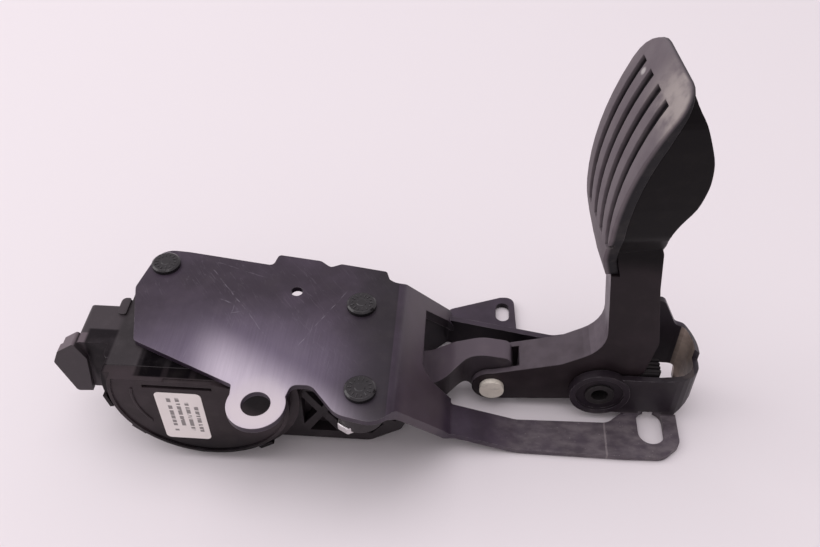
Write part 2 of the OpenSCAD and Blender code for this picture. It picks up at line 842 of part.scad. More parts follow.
module pivot_bush(y0, y1, flange_y) {
    color("#c9c4b4")
        difference() {
            union() {
                bar_y(pivot_x, pivot_z, bush_d, y0, y1);
                bar_y(pivot_x, pivot_z, bush_d + 4, flange_y, flange_y + bush_flange);
            }
            bar_y(pivot_x, pivot_z, tube_d + 2 * run_gap, y0 - 5, y1 + 5);
        }
}

module pivot_bush_near() {
    pivot_bush(arm_near, arm_near + bush_l, arm_near - bush_flange);
}

module pivot_bush_far() {
    pivot_bush(arm_far - bush_l, arm_far, arm_far);
}

// Headed pin that joins arm and lever
module link_pin() {
    color("#a9a496")
        union() {
            bar_y(link_x, link_z, 10.4, arm_near - 2.4, arm_near);
            bar_y(link_x, link_z, link_d, arm_near - 0.1, arm_far + 2.2);
        }
}

// Push-on clip at the pin's far end
module link_clip() {
    color("#5b5d61")
        difference() {
            bar_y(link_x, link_z, 13, arm_far, arm_far + 1.2);
            bar_y(link_x, link_z, link_d, arm_far - 1, arm_far + 3);
        }
}

// Side outline of the lever, from its drum to its slotted tip
function lever_side() = [
    [hub_x, hub_z + 14], [-125, 24, 20], [-96, 17, 10], [-85, 24.5, 12], [link_x - 5, 28.8, 14],
    [link_x + 7, 27, 4], [link_x + 9, link_z + 6, 5], [link_x + 7, link_z - 6, 5],
    [link_x - 7, link_z - 6, 5], [link_x - 12, link_z + 3, 6], [-92, 6.5, 8], [-110, 8, 14],
    [-140, 13, 20], [hub_x, hub_z - 13]];

function lever_plan() = [
    [hub_x - 20, root_near], [leg_x - 3, root_near, 10], [link_x - 11, lever_near, 6],
    [link_x + 12, lever_near], [link_x + 12, lever_far], [hub_x - 20, lever_far]];

module sensor_lever() {
    slack = 1.3;
    color("#3c3940")
        difference() {
            union() {
                intersection() {
                    slab_y(root_near, lever_far)
                        polygon(rounded(lever_side()));
                    slab_z(-1, 60)
                        polygon(rounded(lever_plan()));
                }
                bar_y(hub_x, hub_z, hub_d, root_near, lever_far);
                bar_y(hub_x, hub_z, hub_neck_d, part_y + 1, root_near + 1);
            }
            bar_y(hub_x, hub_z, shaft_d + 4, part_y, lever_far + 1);
            for (s = [-slack, slack])
                bar_y(link_x + s, link_z, link_d + 0.6, lever_near - 1, lever_far + 1);
            slab_y(lever_near - 1, lever_far + 1)
                translate([link_x - slack, link_z - link_d / 2 - 0.3])
                    square([2 * slack, link_d + 0.6]);
        }
}

module hub_bush(y0, y1) {
    color("#c9c4b4")
        difference() {
            bar_y(hub_x, hub_z, shaft_d + 4, y0, y1);
            bar_y(hub_x, hub_z, shaft_d + 2 * run_gap, y0 - 1, y1 + 1);
        }
}

module hub_bush_near() {
    hub_bush(part_y + 1, part_y + 9);
}

module hub_bush_far() {
    hub_bush(lever_far - 8, lever_far);
}

// Ring magnet on the hub's near end, facing the circuit board
module lever_magnet() {
    color("#6d6f74")
        difference() {
            bar_y(hub_x, hub_z, magnet_d, part_y - 1.5, part_y + 1);
            bar_y(hub_x, hub_z, shaft_d + 4, part_y - 4, part_y + 2);
        }
}

bracket();
pivot_tube();
stop_bumper();
housing_body();
housing_lid();
lid_seal();
connector_pins();
circuit_board();
spring_plate();
hub_shaft();
outer_spring();
inner_spring();
screw_rear_left();
screw_rear_right();
screw_front();
front_nut();
pedal_arm();
pad_cover();
pivot_bush_near();
pivot_bush_far();
link_pin();
link_clip();
sensor_lever();
hub_bush_near();
hub_bush_far();
lever_magnet();
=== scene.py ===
"""Dresses a hanging accelerator pedal: painted bracket, moulded sensor housing, lever, arm and ribbed pad."""

import json
import logging
import math
from dataclasses import dataclass
from enum import Enum
from typing import Any

import bmesh
import bpy
from mathutils import Matrix, Vector


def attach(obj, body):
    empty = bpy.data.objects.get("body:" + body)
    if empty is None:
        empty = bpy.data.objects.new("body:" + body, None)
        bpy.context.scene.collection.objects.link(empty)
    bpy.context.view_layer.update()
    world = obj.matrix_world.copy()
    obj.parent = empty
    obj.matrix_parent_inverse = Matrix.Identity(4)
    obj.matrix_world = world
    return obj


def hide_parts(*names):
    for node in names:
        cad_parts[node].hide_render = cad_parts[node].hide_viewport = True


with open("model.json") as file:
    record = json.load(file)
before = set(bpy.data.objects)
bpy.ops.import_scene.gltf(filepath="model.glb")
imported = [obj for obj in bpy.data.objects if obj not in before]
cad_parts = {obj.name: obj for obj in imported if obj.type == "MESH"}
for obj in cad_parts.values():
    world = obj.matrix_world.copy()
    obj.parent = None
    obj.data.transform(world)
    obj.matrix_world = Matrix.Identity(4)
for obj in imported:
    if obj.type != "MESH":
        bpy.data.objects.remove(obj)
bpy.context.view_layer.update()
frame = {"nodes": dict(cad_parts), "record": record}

MM = 0.001
log = logging.getLogger("pedal")

Colour = tuple[float, float, float]
Point = tuple[float, float, float]
Spot = tuple[float, float]

# Where a smooth step starts and ends, and where a band starts, is full, begins to fade and stops
Step = tuple[float, float]
Band = tuple[float, float, float, float]

# Lower left corner of the label on the lid, as X and Z in millimetres
LABEL_LOW: Spot = (-199.3, 13.3)


class Body(Enum):
    """The rigid bodies that the new pieces ride on."""

    FRAME = "frame"
    PEDAL = "pedal"


class Value:
    """A number on the shader graph, with Python's arithmetic: each operator adds one Math node."""

    def __init__(self, graph: "Graph", socket: bpy.types.NodeSocket) -> None:
        """Wraps a socket.

        Args:
            graph: The graph that the socket belongs to.
            socket: The output socket that carries the number.
        """
        self.graph = graph
        self.socket = socket

    def math(self, operation: str, *operands: Any) -> "Value":
        """Adds a Math node.

        Args:
            operation: The Math node's operation.
            operands: Numbers or values, in the node's order.

        Returns:
            The node's result.
        """
        inputs = {i: operand for i, operand in enumerate(operands)}
        made = self.graph.node("ShaderNodeMath", {"operation": operation}, inputs)
        return Value(self.graph, made.outputs[0])

    def __add__(self, other: Any) -> "Value":
        """Sum."""
        return self.math("ADD", self, other)

    def __radd__(self, other: Any) -> "Value":
        """Sum, reflected."""
        return self.math("ADD", other, self)

    def __sub__(self, other: Any) -> "Value":
        """Difference."""
        return self.math("SUBTRACT", self, other)

    def __rsub__(self, other: Any) -> "Value":
        """Difference, reflected."""
        return self.math("SUBTRACT", other, self)

    def __mul__(self, other: Any) -> "Value":
        """Product."""
        return self.math("MULTIPLY", self, other)

    def __rmul__(self, other: Any) -> "Value":
        """Product, reflected."""
        return self.math("MULTIPLY", other, self)

    def __truediv__(self, other: Any) -> "Value":
        """Quotient."""
        return self.math("DIVIDE", self, other)

    def __pow__(self, other: Any) -> "Value":
        """Power."""
        return self.math("POWER", self, other)

    def __abs__(self) -> "Value":
        """Absolute value."""
        return self.math("ABSOLUTE", self)

    def sine(self) -> "Value":
        """Sine of the value in radians."""
        return self.math("SINE", self)

    def root(self) -> "Value":
        """Square root."""
        return self.math("SQRT", self)

    def fraction(self) -> "Value":
        """What is left above the next lower whole number."""
        return self.math("FRACT", self)

    def whole(self) -> "Value":
        """The next lower whole number."""
        return self.math("FLOOR", self)

    def least(self, other: Any) -> "Value":
        """The smaller of two values."""
        return self.math("MINIMUM", self, other)

    def most(self, other: Any) -> "Value":
        """The larger of two values."""
        return self.math("MAXIMUM", self, other)

    def hypotenuse(self, other: "Value") -> "Value":
        """Distance across two offsets at right angles."""
        return (self ** 2.0 + other ** 2.0).root()

    def rises(self, low: float, high: float) -> "Value":
        """A smooth step.

        Args:
            low: Where the step starts; above high it falls instead.
            high: Where the step ends.

        Returns:
            0 before the step and 1 past it.
        """
        start, stop, first, last = (low, high, 0.0, 1.0) if low < high else (high, low, 1.0, 0.0)
        made = self.graph.node(
            "ShaderNodeMapRange",
            {"interpolation_type": "SMOOTHSTEP", "clamp": True},
            {"Value": self, "From Min": start, "From Max": stop, "To Min": first, "To Max": last},
        )
        return Value(self.graph, made.outputs[0])

    def band(self, start: float, full: float, fade: float, stop: float) -> "Value":
        """A smooth band.

        Args:
            start: Where the band begins to rise.
            full: Where it has reached 1.
            fade: Where it begins to fall.
            stop: Where it is 0 again.

        Returns:
            1 inside the band and 0 outside it.
        """
        return self.rises(start, full) * self.rises(stop, fade)


class Graph:
    """A node tree that nodes are added to in one way."""

    def __init__(self, tree: bpy.types.NodeTree) -> None:
        """Keeps the tree."""
        self.tree = tree

    def node(
        self, kind: str, settings: dict[str, Any] | None = None, inputs: dict[Any, Any] | None = None
    ) -> bpy.types.Node:
        """Adds one node.

        Args:
            kind: The node's type.
            settings: Properties of the node, which are set first.
            inputs: Values or links by socket name or index.

        Returns:
            The new node.
        """
        made = self.tree.nodes.new(kind)
        for key, setting in (settings or {}).items():
            setattr(made, key, setting)
        for key, value in (inputs or {}).items():
            socket = made.inputs[key]
            if isinstance(value, Value):
                self.tree.links.new(value.socket, socket)
            elif isinstance(value, bpy.types.NodeSocket):
                self.tree.links.new(value, socket)
            else:
                socket.default_value = value
        return made

    def backdrop_rays(self) -> Value:
        """Tells which rays see the pale surround itself.

        Returns:
            1 for camera, glossy and transmission rays, 0 for the rest.
        """
        path = self.node("ShaderNodeLightPath")
        camera, glossy, through = (
            Value(self, path.outputs[f"Is {kind} Ray"]) for kind in ("Camera", "Glossy", "Transmission")
        )
        return camera.most(glossy).most(through)


@dataclass(frozen=True)
class Scratch:
    """A long scratch on a horizontal face: the X and Y of its two ends, and half its width."""

    start: Spot
    stop: Spot
    width: float


class Shader(Graph):
    """One material's node graph, with places in millimetres of the object's own frame."""

    def __init__(self, name: str) -> None:
        """Starts a material with a surface shader.

        Args:
            name: The material's name.
        """
        self.material = bpy.data.materials.new(name)
        self.material.use_nodes = True
        super().__init__(self.material.node_tree)
        self.surface = self.tree.nodes["Principled BSDF"]
        place = self.node("ShaderNodeTexCoord").outputs["Object"]
        scaled = self.node("ShaderNodeVectorMath", {"operation": "SCALE"}, {0: place, "Scale": 1.0 / MM})
        self.place = scaled.outputs[0]
        split = self.node("ShaderNodeSeparateXYZ", {}, {0: self.place})
        self.x, self.y, self.z = (Value(self, split.outputs[i]) for i in range(3))

    def pattern_place(self, size: Point, turn: float, shift: float) -> bpy.types.NodeSocket:
        """Places a pattern on the object.

        Args:
            size: The pattern's size along each axis, in millimetres.
            turn: Turn of the pattern about Z, in degrees.
            shift: Slides the pattern, so that two patterns differ.

        Returns:
            The place in the pattern's own units.
        """
        turned = (0.0, 0.0, math.radians(turn))
        placed = self.node(
            "ShaderNodeMapping",
            {"vector_type": "TEXTURE"},
            {0: self.place, 1: (shift, shift, shift), 2: turned, 3: size},
        )
        return placed.outputs[0]

    def noise(self, size: Point | float, turn: float = 0.0, shift: float = 0.0, detail: float = 3.0) -> Value:
        """Cloudy noise.

        Args:
            size: How large the clouds are, in millimetres, all round or along each axis.
            turn: Turn of the pattern about Z, in degrees.
            shift: Slides the pattern, so that two noises differ.
            detail: How many finer layers it has.

        Returns:
            A value around 0.5.
        """
        sizes = size if isinstance(size, tuple) else (size, size, size)
        place = self.pattern_place(sizes, turn, shift)
        inputs = {"Vector": place, "Scale": 1.0, "Detail": detail, "Roughness": 0.55}
        return Value(self, self.node("ShaderNodeTexNoise", {}, inputs).outputs[0])

    def cells(self, size: float, shift: float = 0.0) -> Value:
        """Distance to the nearest of many scattered points, in cell sizes."""
        place = self.pattern_place((size, size, size), 0.0, shift)
        return Value(self, self.node("ShaderNodeTexVoronoi", {}, {"Vector": place, "Scale": 1.0}).outputs[0])

    def mix(self, share: Any, first: Any, second: Any) -> bpy.types.NodeSocket:
        """Blends two colours.

        Args:
            share: How much of the second colour shows.
            first: A colour or colour socket.
            second: A colour or colour socket.

        Returns:
            The blended colour's socket.
        """
        below, above = (c if isinstance(c, bpy.types.NodeSocket) else (*c, 1.0) for c in (first, second))
        settings = {"data_type": "RGBA", "clamp_factor": True}
        return self.node("ShaderNodeMix", settings, {0: share, 6: below, 7: above}).outputs[2]

    def scratch(self, mark: Scratch) -> Value:
        """Draws a scratch that wavers a little and thins out at its ends.

        Args:
            mark: The scratch.

        Returns:
            1 on the scratch and 0 off it.
        """
        run = Vector(mark.stop) - Vector(mark.start)
        along = run.normalized()
        off_x, off_y = self.x - mark.start[0], self.y - mark.start[1]
        drift = (self.noise(9.0, shift=mark.start[0]) - 0.5) * 1.6
        u = off_x * along.x + off_y * along.y
        v = off_y * along.x - off_x * along.y + drift
        return abs(v).rises(mark.width, mark.width * 0.3) * u.band(-1.0, 2.0, run.length - 6.0, run.length)

    def alignment(self, direction: Any) -> Value:
        """Says how far a face points along a direction.

        Args:
            direction: The direction, or a socket that carries one.

        Returns:
            1 straight along it and 0 beside it.
        """
        flat = self.node("ShaderNodeNewGeometry").outputs["True Normal"]
        same = self.node("ShaderNodeVectorMath", {"operation": "DOT_PRODUCT"}, {0: flat, 1: direction})
        return Value(self, same.outputs["Value"])

    def round_edge(self, radius: float) -> tuple[bpy.types.NodeSocket, Value]:
        """Softens sharp edges in the shading.

        Args:
            radius: The edge's radius in millimetres.

        Returns:
            The softened normal, and a mask that is 1 on the edges.
        """
        soft = self.node("ShaderNodeBevel", {"samples": 6}, {"Radius": radius * MM}).outputs[0]
        return soft, self.alignment(soft).rises(0.985, 0.8)

    def bump(self, height: Value, depth: float, under: bpy.types.NodeSocket | None) -> bpy.types.NodeSocket:
        """Turns a height into a normal.

        Args:
            height: The height, from 0 to 1.
            depth: The depth in millimetres.
            under: The normal that the bumps stand on, or None for the surface's own.

        Returns:
            The bumped normal.
        """
        inputs = {"Strength": 1.0, "Distance": depth * MM, "Height": height}
        if under is not None:
            inputs["Normal"] = under
        return self.node("ShaderNodeBump", {}, inputs).outputs[0]


@dataclass
class Coat:
    """What a finish has worked out so far for one material."""

    shader: Shader
    colour: bpy.types.NodeSocket
    rough: Value
    metal: Value | float
    height: Value

    def paint(self, share: Value, colour: Colour) -> None:
        """Lays a colour over what is there, as far as the share says."""
        self.colour = self.shader.mix(share, self.colour, colour)


@dataclass(frozen=True)
class Finish:
    """A surface finish; sizes are in millimetres and colours are linear."""

    name: str
    colour: Colour
    mottle: Colour
    roughness: float = 0.5
    spread: float = 0.1
    metal: float = 0.0
    specular: float = 0.25
    cloud: float = 14.0
    grain: float = 0.35
    depth: float = 0.012
    edge: float = 0.4
    worn_edge: Colour = (0.16, 0.15, 0.16)
    edge_wear: float = 0.35
    dust: float = 0.0
    dust_colour: Colour = (0.3, 0.26, 0.23)

    def build(self) -> bpy.types.Material:
        """Makes the material.

        Returns:
            A procedural material that needs no texture coordinates but the object's own.
        """
        shader = Shader(self.name)
        clouds = shader.noise(self.cloud, shift=3.0)
        grain = shader.noise(self.grain, detail=2.0)
        colour = shader.mix(clouds.rises(0.35, 0.7), self.colour, self.mottle)
        rough = (clouds - 0.5) * self.spread * 2.0 + (grain - 0.5) * self.spread + self.roughness
        normal, edges = (None, None) if self.edge <= 0 else shader.round_edge(self.edge)
        coat = Coat(shader, colour, rough, self.metal, grain)
        self.detail(shader, coat)
        if edges is not None:
            patchy = shader.noise(3.5, shift=8.0).rises(0.4, 0.62)
            coat.paint(edges * patchy * self.edge_wear, self.worn_edge)
        if self.dust > 0:
            specks = shader.cells(1.1, shift=5.0).rises(0.16, 0.05)
            film = shader.noise(7.0, shift=12.0).rises(0.45, 0.75)
            cover = (specks * 0.8 + film * 0.35) * self.dust
            coat.paint(cover, self.dust_colour)
            coat.rough = coat.rough + cover * 0.3
        self.wire(shader, coat, normal)
        return shader.material

    def detail(self, shader: Shader, coat: Coat) -> None:
        """Adds what only this finish has; the plain finish adds nothing."""

    def wire(self, shader: Shader, coat: Coat, normal: bpy.types.NodeSocket | None) -> None:
        """Wires the surface shader.

        Args:
            shader: The graph.
            coat: The worked-out colour, roughness, metal and height.
            normal: The softened normal, or None.
        """
        surface = shader.surface
        surface.inputs["Specular IOR Level"].default_value = self.specular
        links = {
            "Base Color": coat.colour,
            "Roughness": coat.rough.most(0.06).least(0.95).socket,
            "Normal": shader.bump(coat.height, self.depth, normal),
        }
        if isinstance(coat.metal, Value):
            links["Metallic"] = coat.metal.socket
        else:
            surface.inputs["Metallic"].default_value = coat.metal
        for name, socket in links.items():
            shader.tree.links.new(socket, surface.inputs[name])


@dataclass(frozen=True)
class BracketPaint(Finish):
    """Satin black paint on folded sheet: scuffed on the plate, worn bright at the lug with painted sheen and
    glare up the plate, painted shade on its right end, in the opening and on the walls' near side, dusty on
    the leg.
    """

    # Places on the bracket, in millimetres
    plate_top: Step = (51.7, 51.9)
    lug: Spot = (-156.5, -32.5)
    lug_rim: Step = (15.0, 8.5)
    lug_blend_y: Step = (-22.0, -36.0)
    shine_middle: Spot = (-168.0, -20.0)
    shine_reach: Step = (54.0, 4.0)
    glare_x: float = -158.6
    glare_slope: float = 0.57
    glare_reach: Step = (-3.0, -28.0)
    glare_left_x: Step = (-190.0, -170.0)
    brush: Point = (0.8, 18.0, 18.0)
    rubbed_x: Step = (-120.0, -140.0)
    rubbed_y: Step = (16.0, -8.0)
    dark_end_x: Step = (-136.0, -112.0)
    wing_x: Band = (-107.0, -102.0, -86.0, -82.0)
    wing_z: Step = (14.0, 20.0)
    opening_x: Step = (-12.0, -20.0)
    opening_y: Step = (32.0, 36.0)
    opening_z: Step = (48.0, 44.0)
    leg_x: Step = (-84.0, -45.0)
    leg_y: Step = (13.0, 9.0)
    leg_z: Step = (7.0, 4.0)
    crease_x: float = -19.5
    wall_x: Step = (-42.0, -36.0)
    wall_y: Band = (7.0, 8.0, 30.0, 32.0)
    wall_z: Step = (3.0, 4.5)
    end_wall_x: Band = (7.0, 12.0, 15.0, 15.6)
    end_wall_y: Step = (9.5, 11.0)
    end_wall_z: Step = (4.0, 9.0)
    grease_fade_y: Step = (12.0, 30.0)
    steel: Colour = (0.5, 0.455, 0.475)
    scuff: Colour = (0.24, 0.215, 0.26)
    polish_and_sheen: Colour = (0.15, 0.12, 0.175)
    glare: Colour = (0.5, 0.44, 0.52)
    shadow: Colour = (0.006, 0.004, 0.006)
    film: Colour = (0.1, 0.075, 0.085)
    dirt: Colour = (0.21, 0.18, 0.19)
    near_wall_shade: Colour = (0.006, 0.0045, 0.0045)
    grease: Colour = (0.48, 0.38, 0.325)
    scratches: tuple[Scratch, ...] = (
        Scratch((-188.0, 36.0), (-157.0, -2.0), 0.28),
        Scratch((-182.0, 19.5), (-172.5, 15.0), 0.35),
        Scratch((-174.0, 19.0), (-175.5, 9.0), 0.22),
        Scratch((-175.2, 11.0), (-168.0, 13.5), 0.22),
        Scratch((-146.0, -4.5), (-129.0, 28.0), 0.25),
        Scratch((-187.0, 40.0), (-162.0, 31.0), 0.15),
    )

    def detail(self, shader: Shader, coat: Coat) -> None:
        """Adds polish with painted sheen and glare, scratches, painted shade, bare steel, dirt and old
        grease, in that order.

        Args:
            shader: The graph.
            coat: The coat that is changed.
        """
        on_top = shader.z.rises(*self.plate_top)
        self.paint_polish_and_sheen(shader, coat, on_top)
        self.scuff_plate(shader, coat, on_top)
        self.shade_right(shader, coat, on_top)
        bare = self.bare_lug(shader, coat, on_top)
        opening = self.paint_opening_shade(shader, coat)
        # bare steel is metallic; the painted shade in the opening is made partly metallic too, so that it
        # reflects little
        coat.metal = (bare * 0.75).most(opening * 0.6)
        dirt = shader.noise((7.0, 4.0, 4.0), shift=15.0, detail=6.0).rises(0.3, 0.75) * 0.42 + 0.16
        self.soil_leg(shader, coat, dirt)
        self.shade_and_grease_walls(shader, coat, dirt)

    def paint_polish_and_sheen(self, shader: Shader, coat: Coat, on_top: Value) -> None:
        """Brightens the plate towards the lug in brushed streaks, partly as polish and partly as painted
        sheen, and lays a painted glare up the plate.

        Args:
            shader: The graph.
            coat: The coat that is changed.
            on_top: 1 on the plate's upper face.
        """
        off_x, off_y = shader.x - self.shine_middle[0], shader.y - self.shine_middle[1]
        away = (off_x ** 2.0 * 0.55 + off_y ** 2.0 * 1.4).root()
        streaks = shader.noise(self.brush, shift=55.0) * 0.5 + 0.7
        # painted sheen mixed with polish: paler towards the lug, in streaks
        coat.paint(away.rises(*self.shine_reach) * streaks * on_top, self.polish_and_sheen)
        # painted glare up the plate from the lug, partly paint worn pale
        beyond = shader.y + (shader.x - self.glare_x) * self.glare_slope
        streaks = shader.noise(self.brush, shift=76.0) * 0.4 + 0.8
        glare = beyond.rises(*self.glare_reach) * shader.x.rises(*self.glare_left_x)
        coat.paint(glare * streaks * on_top, self.glare)

    def scuff_plate(self, shader: Shader, coat: Coat, on_top: Value) -> None:
        """Lays broken scratches, rubbed streaks and fine lines on the plate.

        Args:
            shader: The graph.
            coat: The coat that is changed.
            on_top: 1 on the plate's upper face.
        """
        first, *others = (shader.scratch(mark) for mark in self.scratches)
        for other in others:
            first = first.most(other)
        broken = shader.noise(3.4, shift=21.0).rises(0.4, 0.66)
        patch = shader.noise((22.0, 16.0, 16.0), shift=40.0).rises(0.38, 0.62)
        streaks = shader.noise((0.5, 16.0, 16.0), turn=-4.0, shift=4.0, detail=4.0).rises(0.56, 0.72)
        near_corner = shader.y.rises(*self.rubbed_y) * shader.x.rises(*self.rubbed_x)
        veins = shader.noise((2.4, 26.0, 20.0), turn=38.0, shift=61.0, detail=2.0)
        fine = abs(veins - 0.5).rises(0.012, 0.003) * patch * 0.1
        rubbed = streaks * patch * near_corner * 0.4
        marks = (first * broken * 0.42).most(rubbed).most(fine) * on_top
        coat.paint(marks, self.scuff)
        coat.rough = coat.rough + marks * 0.12

    def shade_right(self, shader: Shader, coat: Coat, on_top: Value) -> None:
        """Paints shade on the plate's right end and greys the wing.

        Args:
            shader: The graph.
            coat: The coat that is changed.
            on_top: 1 on the plate's upper face.
        """
        # painted shade on the plate's right end
        coat.paint(shader.x.rises(*self.dark_end_x) * on_top * 0.75, self.shadow)
        wing = shader.x.band(*self.wing_x) * shader.z.rises(*self.wing_z)
        coat.paint(wing * 0.35, self.film)

    def bare_lug(self, shader: Shader, coat: Coat, on_top: Value) -> Value:
        """Wears the paint off the lug, with a ragged border.

        Args:
            shader: The graph.
            coat: The coat that is changed.
            on_top: 1 on the plate's upper face.

        Returns:
            1 on the bare steel.
        """
        away = (shader.x - self.lug[0]).hypotenuse(shader.y - self.lug[1])
        ragged = shader.noise(1.6, shift=31.0) * 2.4 - 1.2
        blend = shader.y.rises(*self.lug_blend_y) * 0.55 + 0.45
        bare = (away + ragged).rises(*self.lug_rim) * blend * on_top
        coat.paint(bare, self.steel)
        coat.rough = coat.rough * (1.0 - bare) + bare * 0.42
        return bare

    def paint_opening_shade(self, shader: Shader, coat: Coat) -> Value:
        """Paints shade, near black, on the far wall's face in the opening behind the lever.

        Args:
            shader: The graph.
            coat: The coat that is changed.

        Returns:
            1 on the blackened face.
        """
        near_face = shader.alignment((0.0, -1.0, 0.0)).rises(0.3, 0.8) * shader.z.rises(*self.opening_z)
        opening = near_face * shader.y.rises(*self.opening_y) * shader.x.rises(*self.opening_x)
        # painted shade on the far wall's face
        coat.paint(opening * 0.8, self.shadow)
        return opening

    def soil_leg(self, shader: Shader, coat: Coat, dirt: Value) -> None:
        """Lays dirt and specks on the front leg and foot, and a pale crease across the foot.

        Args:
            shader: The graph.
            coat: The coat that is changed.
            dirt: How much dirt lies at each place.
        """
        on_leg = shader.x.rises(*self.leg_x) * shader.z.rises(*self.leg_z) * shader.y.rises(*self.leg_y)
        clusters = shader.noise(6.0, shift=9.0).rises(0.45, 0.6)
        specks = shader.cells(1.6, shift=2.0).rises(0.18, 0.06) * clusters
        crease = abs(shader.x - self.crease_x).rises(0.6, 0.15)
        coat.paint(on_leg * (dirt + specks * 0.6 + crease * 0.5), self.dirt)
        coat.rough = coat.rough + on_leg * 0.12

    def shade_and_grease_walls(self, shader: Shader, coat: Coat, dirt: Value) -> None:
        """Paints shade, near black, on the walls' near side and lays old grease on the end wall's inner face.

        Args:
            shader: The graph.
            coat: The coat that is changed.
            dirt: How much dirt lies at each place.
        """
        near_side = shader.x.rises(*self.wall_x) * shader.z.rises(*self.wall_z) * shader.y.band(*self.wall_y)
        # painted shade, near black, on the walls' near side
        coat.paint(near_side * 0.7, self.near_wall_shade)
        end_wall = shader.x.band(*self.end_wall_x) * shader.z.rises(*self.end_wall_z)
        inner_face = shader.alignment((-1.0, 0.0, 0.0)).rises(0.1, 0.5) * shader.y.rises(*self.end_wall_y)
        fade = shader.y.rises(*self.grease_fade_y) * 0.75 + 0.25
        coat.paint(end_wall * inner_face * fade * (dirt + 0.6), self.grease)


@dataclass(frozen=True)
class HousingPlastic(Finish):
    """Moulded plastic of the housing and its lid: painted shade, near black, in the hollows and low on the
    lid, greyer on the socket, with a painted highlight on its ledge.
    """

    hollow_shade: Colour = (0.003, 0.002, 0.003)
    plug: Colour = (0.042, 0.033, 0.038)
    ledge: Colour = (0.12, 0.092, 0.106)
    # Places on the housing, in millimetres
    top_z: Step = (48.9, 49.3)
    hollow_x: Band = (-207.0, -205.5, -166.0, -163.0)
    hollow_y: Band = (-21.4, -20.6, 8.0, 10.0)
    rib_x: float = -189.0
    rib_pitch: float = 11.0
    rib_width: Step = (0.05, 0.16)
    near_y: Step = (-10.0, -16.0)
    low_z: Step = (24.0, 6.0)
    below_lug: Spot = (-157.0, 42.0)
    below_lug_reach: Step = (14.0, 6.0)
    plug_x: Step = (-217.0, -220.0)
    pit_x: Band = (-231.0, -229.5, -219.0, -217.5)
    pit_y: Step = (2.0, 0.8)
    pit_z: Step = (23.0, 32.0)
    ledge_x: Step = (-229.5, -231.0)
    ledge_y: Step = (-0.5, -1.2)

    def detail(self, shader: Shader, coat: Coat) -> None:
        """Paints shade, near black, in the top recess, low on the lid, under the lug and in the socket's pit,
        greys the socket and paints a highlight on its lit ledge.

        Args:
            shader: The graph.
            coat: The coat that is changed.
        """
        sunk = self.top_hollow_shade(shader)
        # painted shade stands in for the recess beside the plate
        coat.paint(sunk, self.hollow_shade)
        coat.rough = coat.rough + sunk * 0.4
        # painted shade low on the lid, and the lug's painted shadow below it
        from_lug = (shader.x - self.below_lug[0]).hypotenuse(shader.z - self.below_lug[1])
        shade = shader.z.rises(*self.low_z).most(from_lug.rises(*self.below_lug_reach))
        shade = shade * shader.y.rises(*self.near_y) * 0.9
        coat.paint(shade, self.hollow_shade)
        coat.paint(shader.x.rises(*self.plug_x) * 0.8, self.plug)
        # painted shade in the socket's pit
        pit = shader.x.band(*self.pit_x) * shader.y.rises(*self.pit_y) * shader.z.rises(*self.pit_z) * 0.85
        coat.paint(pit, self.hollow_shade)
        # the painted shade is made partly metallic, so that it reflects little of the pale surround
        coat.metal = sunk.most(shade).most(pit) * 0.85
        # painted highlight on the socket's up-facing ledge
        upper = shader.alignment((-0.3, 0.0, 0.95)).rises(0.3, 0.8)
        ledge = upper * shader.x.rises(*self.ledge_x) * shader.y.rises(*self.ledge_y)
        coat.paint(ledge * 0.85, self.ledge)

    def top_hollow_shade(self, shader: Shader) -> Value:
        """Marks out where shade is painted, in the recess in the flat top beside the plate.

        Args:
            shader: The graph.

        Returns:
            1 in the recess, a little less on its three low ribs and 0 outside its rim.
        """
        from_rib = abs(((shader.x - self.rib_x) / self.rib_pitch).fraction() - 0.5).rises(*self.rib_width)
        inside = shader.x.band(*self.hollow_x) * shader.y.band(*self.hollow_y)
        return shader.z.rises(*self.top_z) * inside * (from_rib * 0.25 + 0.75)


@dataclass(frozen=True)
class ArmPlastic(Finish):
    """Moulded plastic, with painted shade, near black, on the head behind the pad."""

    deep: Colour = (0.004, 0.003, 0.0035)
    film: Colour = (0.155, 0.128, 0.15)
    neck_z: Step = (80.0, 92.0)
    film_z: Step = (70.0, 60.0)

    def detail(self, shader: Shader, coat: Coat) -> None:
        """Paints shade on the head, near black and partly metallic, and lays a pale film on the front of the
        column and its upper faces, partly dust and partly painted light.

        Args:
            shader: The graph.
            coat: The coat that is changed.
        """
        # painted shade on the head behind the pad, partly metallic so that it reflects little
        head = shader.z.rises(*self.neck_z)
        coat.paint(head, self.deep)
        coat.metal = head * 0.45
        # partly dust, partly painted light on the front and upper faces
        front = shader.alignment((-1.0, 0.0, 0.0)).rises(0.1, 0.95) * (1.0 - head) * 0.9
        above = shader.alignment((0.0, 0.0, 1.0)).rises(0.1, 0.8) * shader.z.rises(*self.film_z) * 0.52
        patchy = shader.noise(8.0, shift=90.0).rises(0.25, 0.7) * 0.35 + 0.65
        coat.paint(front.most(above) * patchy, self.film)


@dataclass(frozen=True)
class LeverPlastic(Finish):
    """Moulded plastic, paler on its upper faces, partly from dust and partly as painted light."""

    film: Colour = (0.085, 0.066, 0.082)

    def detail(self, shader: Shader, coat: Coat) -> None:
        """Lays the pale film, partly dust and partly painted light, on what faces up or towards the plate."""
        # partly dust, partly painted light on the upper faces
        coat.paint(shader.alignment((-0.25, 0.0, 0.97)).rises(-0.1, 0.35), self.film)


